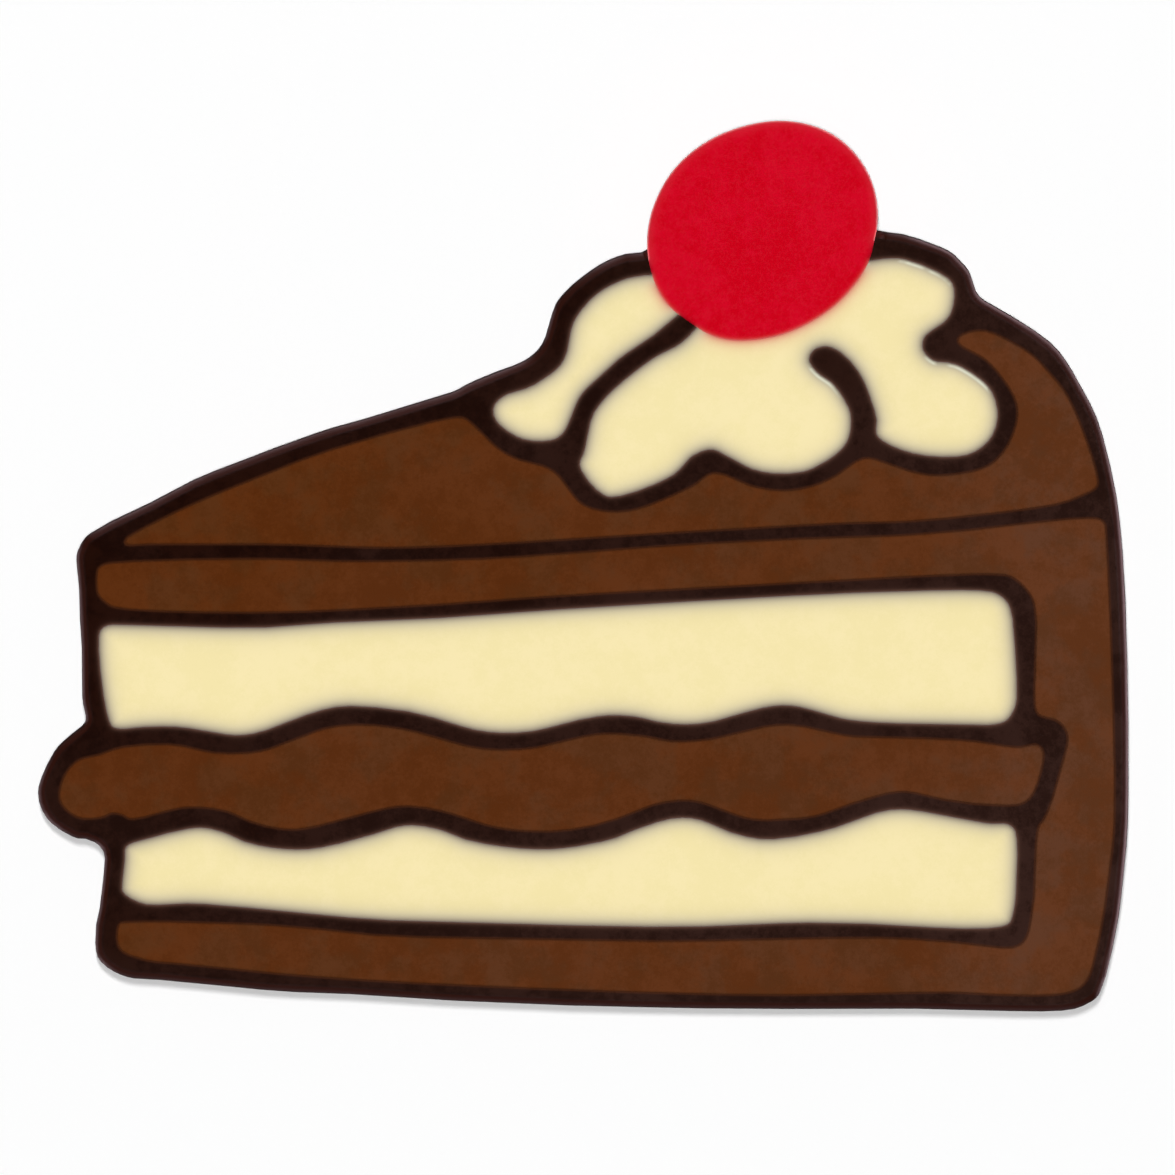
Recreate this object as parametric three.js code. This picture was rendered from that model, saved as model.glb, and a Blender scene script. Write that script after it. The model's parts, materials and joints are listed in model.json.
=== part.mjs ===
// A flat chocolate plaque in the shape of a slice of layer cake with a cherry on top.
// It lies on its back: +Z leaves the decorated face, +Y points to the cherry, and +X to the
// tall end of the slice. A dark backing slab carries a face layer whose pieces lie edge to
// edge: a dark outline, milk and white chocolate panels in its cells, and a red disc.
// Everything is in millimetres. Drawn points are measured from the plaque's lower left corner.
import * as THREE from "three";

// ---------------------------------------------------------------- driving dimensions
const THICKNESS = 6.5; // back to face
const FACE_DEPTH = 2.2; // depth of the outline, of each panel and of the disc
const BACKING_DEPTH = THICKNESS - FACE_DEPTH;
const FACE_INSET = 1.1; // from the plaque's widest line in to the flat face
const UNDER_CHERRY = 0.9; // how far the backing stays in from the disc's edge
const CURVE_STEP = 0.25; // spacing of the points taken along a curve
const CURVE_TOLERANCE = 0.038; // how far a straight edge may stray from its curve
const ARC_STEP = 3; // degrees between the corners of the disc

// The cherry is an ellipse drawn by hand. Its long axis is turned from +X towards +Y, and its
// edge swells out or in a little around some directions.
const CHERRY = { x: 86.95, y: 93.78, longRadius: 14.45, shortRadius: 12.52, tilt: 33.8 };
const CHERRY_SWELLS = [
  { direction: 54, width: 12, height: 0.07 },
  { direction: 98, width: 16, height: -0.12 },
  { direction: 145, width: 18, height: 0.11 },
  { direction: 194, width: 12, height: -0.08 },
  { direction: 231, width: 6, height: -0.16 },
  { direction: 251, width: 13, height: 0.19 },
  { direction: 297, width: 18, height: -0.1 },
  { direction: 342, width: 9, height: 0.12 },
  { direction: 355, width: 5, height: -0.09 },
];

// Where borders meet the cherry, as directions from its centre, in degrees from +X.
const SLOPE_EDGE = 189.5;
const CREAM_LEFT_TOP = 202;
const CREAM_LEFT_FOOT = 225.3;
const CREAM_RIGHT_FOOT = 236;
const CREAM_RIGHT_TOP = 344;
const SHOULDER_EDGE = 360;
const RIM_ARC = 5.2; // degrees of the cherry's edge that the outline's rounded rim takes up
const RIM_FADE = 6; // degrees over which the disc's own rim fades out before a junction

// Rims, from the back up: height above the back, and distance in from the widest line. The
// outline's rim rounds over, dips a little and rounds over again to the face.
const BACKING_RIM = [
  { z: 0, inset: 0.5 },
  { z: 0.25, inset: 0.15 },
  { z: 0.8, inset: 0 },
  { z: BACKING_DEPTH, inset: 0 },
];
const OUTLINE_RIM = [
  { z: BACKING_DEPTH, inset: 0 },
  { z: THICKNESS - 1, inset: 0.04 },
  { z: THICKNESS - 0.65, inset: 0.2 },
  { z: THICKNESS - 0.47, inset: 0.4 },
  { z: THICKNESS - 0.4, inset: 0.58 },
  { z: THICKNESS - 0.2, inset: 0.78 },
  { z: THICKNESS - 0.07, inset: 0.92 },
  { z: THICKNESS, inset: FACE_INSET },
];
const CHERRY_RIM = [
  { z: BACKING_DEPTH, inset: 0.35 },
  { z: BACKING_DEPTH + 0.5, inset: 0.05 },
  { z: THICKNESS - 0.9, inset: 0 },
  { z: THICKNESS - 0.35, inset: 0.06 },
  { z: THICKNESS - 0.12, inset: 0.2 },
  { z: THICKNESS, inset: 0.45 },
];

// ---------------------------------------------------------------- drawn outlines
// The plaque's widest line, from the cherry's left down the slope and round to its right.
const SILHOUETTE = [
  // hump of cream, then the long slope down to the tip
  [72.5, 91.1], [70.6, 90.9], [68.2, 90], [65.5, 88.3], [63.5, 86.6], [62.1, 84.8],
  [60.5, 80.1], [58.7, 78.3], [54.4, 76.5], [51.6, 75.3], [50.1, 74.5], [43.7, 72.5],
  [38.5, 70.9], [34.3, 69.7], [26.5, 66.9], [19.6, 64.2], [16.4, 62.6], [13.4, 61],
  [9.5, 59.2], [7.3, 58], [5.7, 56.9], [4.9, 55.6],
  // left side, with the filling bulging out of it
  [4.6, 54.5], [4.9, 50.5], [5, 46.9], [5.2, 43.8], [5.3, 37.3], [5.7, 35.1], [5.4, 34.4],
  [3.7, 33], [2, 31.3], [0.1, 27.2], [0, 25.8], [0.5, 24], [1.7, 22.4], [4.6, 20.7],
  [5.8, 20.6], [7.1, 20], [7.9, 18.9], [7.9, 17.4], [7.3, 12], [6.9, 10.2], [7, 6.8],
  [7.7, 5.7],
  // foot
  [9.4, 4.5], [11.2, 3.9], [14.3, 3.7], [29.1, 2.3], [36.8, 2], [49.5, 1.2], [67.5, 0.5],
  [85.5, 0.2], [104.9, 0.2], [124.1, 0.1], [126, 0.8], [127.3, 1.8],
  // back of the slice, shoulder and the right hump of cream
  [129.5, 9.7], [130.4, 16.5], [130.9, 23.3], [130.8, 43.3], [130.1, 57.1], [129.2, 63.5],
  [127.35, 70.7], [126.2, 73.3], [122.7, 79.1], [120.1, 81.4], [114.8, 84.7], [113.4, 85.5],
  [112.7, 86.3], [111.8, 88.8], [110.8, 90], [109.5, 91.2], [104.1, 93.2], [102.1, 93.5],
];

// The two creams start and end on the cherry's edge.
const CREAM_LEFT = [
  [73, 88.4], [70.4, 87.9], [66.9, 86], [64.3, 82.8], [63.4, 79], [62.6, 77.5], [59.3, 75.1],
  [56.1, 74], [54.9, 73], [54.6, 72], [55.2, 70.6], [58.1, 68.7], [61.5, 68.5], [63, 69.3],
  [65.2, 73.9], [67.6, 76.3], [69.8, 78.3], [73.9, 81.1],
];
const CREAM_RIGHT = [
  // round the lower left swirl and along the scalloped foot
  [77.1, 80.2], [73.8, 78.4], [69.2, 74.8], [67.5, 73], [66.5, 71.4], [65.5, 67.1], [65, 65.8],
  [65.5, 64.4], [67.5, 62.2], [69, 61.7], [76.2, 64.3], [78.7, 66.7], [80.9, 67.4],
  [83.1, 66.4], [85.9, 65], [89, 64.5], [92.7, 65], [97, 68.1],
  // up, round the end of the dark hook and down again
  [97.6, 71.5], [96.8, 73.5], [95.4, 75.4], [93.5, 76.8], [92.6, 78.2], [93.1, 79.3],
  [94.4, 79.8], [95.8, 79.4], [97.6, 77.9], [99.1, 75.6], [100.6, 71.2], [100.7, 69.1],
  // right swirl and the fold above it
  [104.8, 67], [111.3, 66.7], [113.8, 68.1], [114.9, 69.8], [115.2, 72.2], [114.2, 74.9],
  [110.9, 77.4], [109.4, 77.9], [107.7, 78.1], [106.6, 78.9], [106.2, 79.8], [106.5, 81],
  [108.8, 82.7], [109.7, 84], [110, 86.8], [109.3, 88], [104.1, 90.3], [101.8, 90.4],
];

// Closed outlines of the panels that the dark outline surrounds.
const GLAZE = [
  // tip and slope
  [10.5, 56.1], [10.6, 56.7], [11.6, 57.4], [18, 60.6], [26.4, 64.1], [35.2, 67.4],
  [50.5, 71.3], [51.4, 71.1],
  // scallops under the cream
  [55.2, 67.6], [57.5, 66.3], [60.8, 65.4], [62.3, 64.5], [65.5, 60.8], [70.4, 60],
  [78.3, 62.9], [81.1, 64.6], [86.2, 62.9], [89.7, 62.5], [93.1, 63.1], [95.8, 64.3],
  [98.2, 66], [99.6, 66.4], [104.8, 64.8], [107.9, 64.3], [113.7, 65.3], [115.7, 66.9],
  [117, 69.2], [117.6, 71.8], [117.1, 73.9], [114, 78], [110.8, 79.9], [110.4, 80.5],
  [110.9, 81.2], [113.5, 81.7],
  // shoulder
  [117.1, 80.2], [119.4, 78.7], [121.2, 76.9], [123.8, 73.4], [127.2, 63.5], [126.9, 62.8],
  // lower edge
  [124.2, 61.5], [122.7, 61], [119.3, 60.4], [105.5, 58.9], [96.3, 58.6], [79.9, 57.7],
  [43.5, 55.7], [28, 56.1], [13.5, 56.1],
];
const FROSTING = [
  // upper edge of the top band
  [7.1, 52.3], [7.3, 53.2], [8.1, 53.7], [9.8, 53.9], [13.4, 54.1], [26.7, 54.3],
  [38.3, 54], [53.3, 54.3],
  [62.7, 54.9], [79, 56.1], [96.3, 56.9], [103.2, 57.1], [110.1, 57.6], [127.3, 59.1], [128, 58.6],
  [128.2, 57.2],
  // outer edge down the back and along the foot
  [129.2, 23.4], [128.6, 16.6], [127.6, 9.9], [126.9, 6.9], [126.2, 4.3], [125, 2.8],
  [122.8, 2.1], [115.6, 2], [109.5, 2.3], [85.5, 2], [36.8, 3.9], [17.3, 5.7], [12.8, 6.2],
  [9.8, 7.6], [9.8, 10.5], [10.9, 10.7],
  // upper edge of the bottom band
  [25, 10.5], [33.4, 9.9], [41.1, 9.1], [62.7, 8.6], [74.7, 8.4], [101.7, 8.8], [109.9, 8.3],
  [117.2, 7.7], [118.5, 8.6],
  // inner edge, round the end of the filling
  [119.5, 13], [120.1, 22.1], [120.8, 23.1], [121.7, 25.2], [122.7, 28.9], [123.6, 33.1],
  [122.5, 34.8], [120.3, 35.5], [119.8, 36.1], [119.8, 47.4], [119.2, 49.9], [116.8, 52.2],
  [114.7, 52.5],
  // lower edge of the top band
  [86.7, 51.2], [62.7, 49.9], [47.2, 48.8], [26.7, 47.9], [9.3, 48.5], [8.4, 48.9],
  [7.3, 50], [7.1, 51],
];
const SPONGE_UPPER = [
  [7.3, 45.1], [7.7, 46], [8.5, 46.4], [11.9, 46.4], [26.7, 46.1], [35.3, 46.7],
  [47.2, 47.2], [62.7, 48.3], [101.3, 50.4], [114.5, 50.4], [115.6, 49.9], [116.4, 49.1],
  [116.9, 47.8], [117.1, 46.3], [117.5, 37.4], [117.1, 36], [116.3, 34.9], [114.8, 34.4],
  [110.7, 34.4],
  // waves along its foot
  [97.7, 34.9], [89.5, 36.7], [80.3, 34.6], [77.3, 34.4], [74.5, 34.7], [71.9, 35.3],
  [68.6, 35.5], [65.2, 35], [58.7, 33.5], [53.3, 33.6], [47.2, 35.3], [44.2, 36],
  [36.8, 36.6], [33.3, 35.9], [29.8, 34.6], [26.7, 33.5], [23.9, 33.1], [16.9, 34.1],
  [12.7, 34.1], [9.7, 33.9], [8.8, 34.3],
];
const FILLING = [
  // rounded left end
  [3.1, 28.1], [4.8, 30.1], [7.4, 30.8], [10.1, 31.7],
  // waves along the top
  [16.3, 32], [21.5, 31], [26.7, 31.2], [30.8, 32.6], [34.7, 34], [38.9, 34.4], [44.2, 33.8],
  [53.3, 31.5], [59.5, 31.6], [62.5, 32.3], [67.7, 33.3], [72.8, 33], [76.1, 32.4],
  [80.3, 32.6], [89.5, 34.4], [97.7, 33], [101.3, 32.9], [111.5, 32.5],
  // right end
  [117.7, 31.7], [119.9, 32], [120.5, 31.5], [120.7, 30.6], [119.4, 26.1], [118.2, 25],
  // waves along the foot
  [114.1, 24.8], [109, 25.4], [103.7, 26.4], [98.5, 25.2], [93.5, 23.5], [90.4, 23.1],
  [85.6, 23.1], [78.6, 25.3], [74.6, 25], [69.1, 23], [65.7, 22.1], [61, 21.6], [55, 22.1],
  [49.1, 23.9], [46.1, 24.5], [43.1, 24.6], [31.6, 21.9], [28.6, 22], [25.5, 22.8],
  [22.4, 24.1], [17.8, 24.5], [11.1, 23.1], [10.1, 23.6], [8.9, 23.8], [7.7, 23.3],
  [4.8, 23.3], [2.7, 25.2],
];
const SPONGE_LOWER = [
  // waves along the top
  [10.6, 19.8], [13.3, 20.8], [19.4, 22.1], [22.1, 21.6], [25.5, 20.2], [32.2, 19.5],
  [39.9, 21.2], [43.1, 22.2], [45.1, 22.4], [48.1, 21.9], [52, 20.5], [61, 19.5],
  [68.8, 20.7], [71.8, 21.9], [75.6, 23.1], [77.6, 23.3], [79.6, 23], [83.6, 21.4],
  [87.5, 20.7], [94.6, 21.8], [101.1, 24], [104, 24.3], [114.1, 22.6],
  // right end, foot and left end
  [116.4, 22.5], [117.3, 21.7], [117.5, 15.8], [117.1, 11.8], [116.4, 10.4], [98.5, 10.5],
  [92, 10.6], [76.6, 10.1], [49.5, 10.7], [40.3, 11], [18.9, 12.9], [12.6, 12.9],
  [10.2, 14.3], [10.1, 15.3], [10.4, 18.2],
];

// ---------------------------------------------------------------- outlines to corner points
const radians = THREE.MathUtils.degToRad;
const degrees = THREE.MathUtils.radToDeg;

// Douglas-Peucker: keeps the ends and every point that stands off the line between them.
function thin(points, tolerance) {
  if (points.length < 3) return points;
  const chord = new THREE.Line3(points[0], points.at(-1));
  const foot = new THREE.Vector3();
  let farthest = 0;
  let distance = 0;
  for (let i = 1; i < points.length - 1; i++) {
    const off = chord.closestPointToPoint(points[i], true, foot).distanceTo(points[i]);
    if (off > distance) [farthest, distance] = [i, off];
  }
  if (distance <= tolerance) return [points[0], points.at(-1)];
  const head = thin(points.slice(0, farthest + 1), tolerance);
  return head.concat(thin(points.slice(farthest), tolerance).slice(1));
}

// A smooth curve through the drawn points, as few corners as the tolerance allows.
function smooth(drawn, closed) {
  const knots = drawn.map((p) => new THREE.Vector3(p[0] ?? p.x, p[1] ?? p.y, 0));
  const curve = new THREE.CatmullRomCurve3(knots, closed, "centripetal");
  const count = Math.ceil(curve.getLength() / CURVE_STEP);
  const corners = thin(curve.getPoints(count), CURVE_TOLERANCE);
  if (closed) corners.pop();
  return corners.map((p) => new THREE.Vector2(p.x, p.y));
}

// A point of the cherry's edge in a given direction from its centre, moved in by an inset.
function cherryPoint(direction, inset = 0) {
  const turn = radians(direction - CHERRY.tilt);
  const long = CHERRY.longRadius - inset;
  const short = CHERRY.shortRadius - inset;
  const oval = (long * short) / Math.hypot(short * Math.cos(turn), long * Math.sin(turn));
  const swell = CHERRY_SWELLS.reduce((sum, { direction: middle, width, height }) => {
    const away = THREE.MathUtils.euclideanModulo(direction - middle + 180, 360) - 180;
    return sum + height * Math.exp(-((away / width) ** 2));
  }, 0);
  const radius = oval + swell;
  const angle = radians(direction);
  return new THREE.Vector2(
    CHERRY.x + radius * Math.cos(angle),
    CHERRY.y + radius * Math.sin(angle),
  );
}

// Directions from one to another in even steps, both ends included.
function sweep(from, to) {
  const steps = Math.ceil(Math.abs(to - from) / ARC_STEP);
  return Array.from({ length: steps + 1 }, (_, i) => from + ((to - from) * i) / steps);
}
const cherryArc = (from, to) => sweep(from, to).map((direction) => cherryPoint(direction));

// Moves each corner of an open line to its left, which is inwards on a counterclockwise one.
function insetLine(points, inset) {
  return points.map((point, i) => {
    const before = points[Math.max(i - 1, 0)];
    const after = points[Math.min(i + 1, points.length - 1)];
    const into = i > 0 ? point.clone().sub(before).normalize() : null;
    const out = i < points.length - 1 ? after.clone().sub(point).normalize() : null;
    const along = (into ?? out).clone().add(out ?? into).normalize();
    const spread = Math.max(along.dot(into ?? out), 0.5);
    return new THREE.Vector2(-along.y, along.x).multiplyScalar(inset / spread).add(point);
  });
}

// ---------------------------------------------------------------- borders shared by pieces
const slopeStart = cherryPoint(SLOPE_EDGE);
const shoulderEnd = cherryPoint(SHOULDER_EDGE);
const silhouette = smooth([slopeStart, ...SILHOUETTE, shoulderEnd], false);

const creamLeftSide = smooth(
  [cherryPoint(CREAM_LEFT_TOP), ...CREAM_LEFT, cherryPoint(CREAM_LEFT_FOOT)],
  false,
);
const creamRightSide = smooth(
  [cherryPoint(CREAM_RIGHT_FOOT), ...CREAM_RIGHT, cherryPoint(CREAM_RIGHT_TOP)],
  false,
);
const creamLeft = creamLeftSide.concat(
  cherryArc(CREAM_LEFT_FOOT, CREAM_LEFT_TOP).slice(1, -1),
);
const creamRight = creamRightSide.concat(
  cherryArc(CREAM_RIGHT_TOP, CREAM_RIGHT_FOOT).slice(1, -1),
);
const cells = [GLAZE, FROSTING, SPONGE_UPPER, FILLING, SPONGE_LOWER].map((drawn) => {
  const corners = smooth(drawn, true);
  return THREE.ShapeUtils.isClockWise(corners) ? corners.reverse() : corners;
});

// The dark outline's outer border at one height of its rim. Its two ends slide along the
// cherry's edge, and the stretches that touch the cherry and the creams stay where they are.
function outlineRing({ z, inset }) {
  const slide = degrees(inset / CHERRY.longRadius);
  return {
    z,
    points: [
      cherryPoint(SLOPE_EDGE + slide),
      ...insetLine(silhouette, inset).slice(1, -1),
      cherryPoint(SHOULDER_EDGE - slide),
      ...cherryArc(SHOULDER_EDGE - RIM_ARC, CREAM_RIGHT_TOP).slice(0, -1),
      ...creamRightSide.toReversed(),
      ...cherryArc(CREAM_RIGHT_FOOT, CREAM_LEFT_FOOT).slice(1, -1),
      ...creamLeftSide.toReversed(),
      ...cherryArc(CREAM_LEFT_TOP, SLOPE_EDGE + RIM_ARC).slice(1),
    ],
  };
}

// The backing follows the silhouette, and under the cherry an arc inside the disc's edge.
function backingRing({ z, inset }) {
  const top = sweep(SHOULDER_EDGE - 360 + ARC_STEP, SLOPE_EDGE - ARC_STEP);
  const arc = top.map((direction) => cherryPoint(direction, UNDER_CHERRY));
  const border = silhouette.concat(arc);
  const closed = [border.at(-1), ...border, border[0]];
  return { z, points: insetLine(closed, inset).slice(1, -1) };
}

// The disc's rim is rounded where it is free, and straight where it meets other pieces. The
// short stretches that the ends of the outline's rim touch have no corner between their ends.
function cherryRing({ z, inset }) {
  const stops = [
    SHOULDER_EDGE - 360,
    SLOPE_EDGE,
    SLOPE_EDGE + RIM_ARC,
    CREAM_LEFT_TOP,
    CREAM_LEFT_FOOT,
    CREAM_RIGHT_FOOT,
    CREAM_RIGHT_TOP,
    SHOULDER_EDGE - RIM_ARC,
    SHOULDER_EDGE,
  ];
  const stretch = (from, to) => (to - from > RIM_ARC ? sweep(from, to).slice(1) : [to]);
  const directions = stops.slice(1).flatMap((stop, i) => stretch(stops[i], stop));
  const points = directions.map((direction) => {
    const fromEnds = Math.min(direction % 360, SLOPE_EDGE - direction);
    return cherryPoint(direction, inset * THREE.MathUtils.smoothstep(fromEnds, 0, RIM_FADE));
  });
  return { z, points };
}

const straightRings = (points) => [
  { z: BACKING_DEPTH, points },
  { z: THICKNESS, points },
];

// ---------------------------------------------------------------- solids
// Flat cap over a border and its holes, with every triangle facing up.
function capTriangles(border, holes) {
  const points = [border, ...holes].flat();
  const triangles = THREE.ShapeUtils.triangulateShape(border.slice(), holes.map((h) => h.slice()));
  const turn = ([a, b, c]) =>
    points[b].clone().sub(points[a]).cross(points[c].clone().sub(points[a]));
  const total = triangles.reduce((sum, triangle) => sum + turn(triangle), 0);
  return total > 0 ? triangles : triangles.map(([a, b, c]) => [a, c, b]);
}

// A closed body from counterclockwise rings of equal length, bottom to top, with straight
// holes through it. The plaque's middle becomes the origin.
function stackSolid(rings, holes = []) {
  const vertices = [];
  const triangles = [];
  const addRing = (points, z) => {
    const first = vertices.length / 3;
    for (const p of points) vertices.push(p.x - centre.x, p.y - centre.y, z);
    return points.map((_, i) => first + i);
  };
  const addWall = (low, high) =>
    low.forEach((_, i) => {
      const next = (i + 1) % low.length;
      triangles.push([low[i], low[next], high[next]], [low[i], high[next], high[i]]);
    });

  const levels = rings.map(({ z, points }) => addRing(points, z));
  levels.slice(1).forEach((level, i) => addWall(levels[i], level));
  const lowHoles = holes.map((points) => addRing(points, rings[0].z));
  const highHoles = holes.map((points) => addRing(points, rings.at(-1).z));
  holes.forEach((_, i) => addWall(lowHoles[i].toReversed(), highHoles[i].toReversed()));

  const low = [levels[0], ...lowHoles].flat();
  const high = [levels.at(-1), ...highHoles].flat();
  for (const [a, b, c] of capTriangles(rings[0].points, holes))
    triangles.push([low[a], low[c], low[b]]);
  for (const [a, b, c] of capTriangles(rings.at(-1).points, holes))
    triangles.push([high[a], high[b], high[c]]);

  const geometry = new THREE.BufferGeometry();
  geometry.setAttribute("position", new THREE.Float32BufferAttribute(vertices, 3));
  geometry.setIndex(triangles.flat());
  geometry.computeVertexNormals();
  return geometry;
}

const widest = new THREE.Box2().setFromPoints([...silhouette, ...cherryArc(0, 360)]);
const centre = widest.getCenter(new THREE.Vector2());

// ---------------------------------------------------------------- the plaque
const chocolate = (color, roughness) =>
  new THREE.MeshStandardMaterial({ color, roughness, metalness: 0 });
const dark = chocolate(0x23110c, 0.42);
const darkBack = chocolate(0x23110c, 0.55);
const milk = chocolate(0x572c16, 0.45);
const white = chocolate(0xf6e8b2, 0.5);
const red = chocolate(0xd00a24, 0.45);

const plaque = new THREE.Group();
function addPiece(name, geometry, material) {
  const piece = new THREE.Mesh(geometry, material);
  piece.name = name;
  plaque.add(piece);
}

const [glaze, frosting, spongeUpper, filling, spongeLower] = cells;
addPiece("backing_slab", stackSolid(BACKING_RIM.map(backingRing)), darkBack);
addPiece("dark_outline", stackSolid(OUTLINE_RIM.map(outlineRing), cells), dark);
addPiece("cherry_disc", stackSolid(CHERRY_RIM.map(cherryRing)), red);
addPiece("cream_left", stackSolid(straightRings(creamLeft)), white);
addPiece("cream_right", stackSolid(straightRings(creamRight)), white);
addPiece("glaze_panel", stackSolid(straightRings(glaze)), milk);
addPiece("frosting_panel", stackSolid(straightRings(frosting)), milk);
addPiece("sponge_upper", stackSolid(straightRings(spongeUpper)), white);
addPiece("filling_middle", stackSolid(straightRings(filling)), milk);
addPiece("sponge_lower", stackSolid(straightRings(spongeLower)), white);

export default plaque;
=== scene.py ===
# %% [markdown]
# # A chocolate cake slice, cast flat
#
# The piece is a plaque of cast chocolate in the shape of a slice of layer cake with a cherry
# on top. It lies on its back, 131 mm long, 107 mm high and 6.5 mm thick. A dark backing
# carries a face layer of pieces that lie edge to edge: a dark outline, milk and white
# chocolate panels in its cells, and a red disc.
#
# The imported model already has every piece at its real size, so nothing here is measured
# again. What is left to Blender is the skin of the chocolate: softened edges, a rim that is
# not quite even, a face that waves by a few hundredths of a millimetre, and the finishes.

# %% Load the frame
import json
import math

import bmesh
import bpy
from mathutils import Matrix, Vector, noise
from mathutils.bvhtree import BVHTree

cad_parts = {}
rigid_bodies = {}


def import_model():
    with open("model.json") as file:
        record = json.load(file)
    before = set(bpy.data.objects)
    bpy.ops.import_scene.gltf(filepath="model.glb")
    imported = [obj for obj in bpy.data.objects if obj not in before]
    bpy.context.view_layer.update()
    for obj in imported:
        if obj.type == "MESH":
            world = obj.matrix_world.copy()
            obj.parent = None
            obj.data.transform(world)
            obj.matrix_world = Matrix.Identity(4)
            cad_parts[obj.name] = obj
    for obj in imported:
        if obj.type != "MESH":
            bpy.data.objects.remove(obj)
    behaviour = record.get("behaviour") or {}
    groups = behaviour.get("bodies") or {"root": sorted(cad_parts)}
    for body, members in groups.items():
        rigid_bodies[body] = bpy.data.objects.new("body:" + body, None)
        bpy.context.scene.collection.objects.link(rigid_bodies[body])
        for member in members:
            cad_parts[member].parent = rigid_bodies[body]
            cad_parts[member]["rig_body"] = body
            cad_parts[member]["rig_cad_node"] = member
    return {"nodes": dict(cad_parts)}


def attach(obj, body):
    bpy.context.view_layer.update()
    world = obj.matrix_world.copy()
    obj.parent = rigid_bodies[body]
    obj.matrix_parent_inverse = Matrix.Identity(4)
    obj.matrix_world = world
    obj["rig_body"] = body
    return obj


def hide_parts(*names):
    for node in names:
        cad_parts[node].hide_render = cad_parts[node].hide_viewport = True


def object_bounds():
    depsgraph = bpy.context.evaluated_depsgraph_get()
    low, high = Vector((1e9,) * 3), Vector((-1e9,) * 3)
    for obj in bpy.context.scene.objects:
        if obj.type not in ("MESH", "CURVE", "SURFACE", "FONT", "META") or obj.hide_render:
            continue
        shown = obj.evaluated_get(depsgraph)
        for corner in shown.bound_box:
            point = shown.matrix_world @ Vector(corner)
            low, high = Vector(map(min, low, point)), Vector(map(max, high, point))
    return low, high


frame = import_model()
cad_low, cad_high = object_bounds()
nodes = frame["nodes"]
MM = 0.001
face_height = cad_high.z
print("nodes:", sorted(nodes))
print("size in mm:", [round(side / MM, 1) for side in cad_high - cad_low])

# %% [markdown]
# ## Camera
#
# A flat piece is shown best from straight above. The camera stands far away with a long
# lens, so that the rim is seen equally wide at both ends, and it leans a little towards the
# cherry. That shows a hair more of the rim at the top of the slice than at its foot.

# %% Place the camera
VIEW_MIDDLE = Vector((0.5 * MM, -2.5 * MM, face_height))
VIEW_WIDTH = 141 * MM
CAMERA_DISTANCE = 6
CAMERA_LEAN = math.radians(1.2)
SENSOR = 36

bpy.ops.object.camera_add(rotation=(-CAMERA_LEAN, 0, 0))
camera = bpy.context.object
camera.name = "camera"
back = Vector((0, math.sin(CAMERA_LEAN), math.cos(CAMERA_LEAN)))
camera.location = VIEW_MIDDLE + back * CAMERA_DISTANCE
camera.data.sensor_width = SENSOR
camera.data.lens = SENSOR * CAMERA_DISTANCE / VIEW_WIDTH
bpy.context.scene.camera = camera
print("lens in mm:", round(camera.data.lens))

# %% [markdown]
# ## Light
#
# Chocolate is glossy, and a flat glossy face mirrors whatever stands straight above it. So
# the sky of this small studio is nearly black, and the lamps that light the plaque from
# above are kept out of its gloss. The colours stay deep. The long one hangs a little towards
# the cherry's side, so its shadow shows at the foot alone and fades from the plaque
# outwards. All of them hang four metres away, so that light and shadow are alike at both
# ends of the plaque, and their sizes are given as the degrees that they fill from there.
#
# The other boxes are pinkish reflectors. They stand round the plaque, most of each below the
# level that it lies on, and show in its gloss alone. Seen from above, only a face that leans
# by 34 degrees or more mirrors them, and on this plaque that is the rim, which gets its thin
# lines of light. The one at the foot is faint, so the rim is darkest there.

# %% Hang the lamps
bpy.context.scene.view_settings.view_transform = "Standard"
SKY = 0.03
LAMP_DISTANCE = 4
world = bpy.data.worlds.new("dim_sky")
world.use_nodes = True
world.node_tree.nodes["Background"].inputs["Color"].default_value = (1, 1, 1, 1)
world.node_tree.nodes["Background"].inputs["Strength"].default_value = SKY
bpy.context.scene.world = world


def side_of(degrees):
    """The side in metres of a lamp that fills so many degrees when seen from the plaque."""
    return 2 * LAMP_DISTANCE * math.tan(math.radians(degrees / 2))


def hang_lamp(name, heading, elevation, width, height, brightness):
    """An area light that faces the plaque. Brightness 1 would light white to white."""
    turn = math.radians(heading)
    rise = math.radians(elevation)
    along = Vector((math.cos(turn), math.sin(turn), 0))
    outwards = along * math.cos(rise) + Vector((0, 0, math.sin(rise)))
    bpy.ops.object.light_add(type="AREA", location=outwards * LAMP_DISTANCE)
    lamp = bpy.context.object
    lamp.name = name
    lamp.rotation_euler = outwards.to_track_quat("Z", "Y").to_euler()
    lamp.data.shape = "RECTANGLE"
    lamp.data.size = side_of(width)
    lamp.data.size_y = side_of(height)
    lamp.data.energy = brightness * (math.pi * LAMP_DISTANCE) ** 2
    lamp.visible_camera = False
    return lamp


LAMP_WIDTH = 2.6
# name, heading, elevation and height in degrees, brightness
overhead_lamps = (
    ("light_long", 96, 80.6, 6.4, 0.57),
    ("light_overhead", 90, 90, 2.6, 0.42),
)
for name, heading, elevation, height, brightness in overhead_lamps:
    lamp = hang_lamp(name, heading, elevation, LAMP_WIDTH, height, brightness)
    lamp.visible_glossy = False
    print(name, "watts:", round(lamp.data.energy, 1))

# %% Stand the reflectors
REFLECTOR_PINK = (1, 0.68, 0.74)
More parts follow.
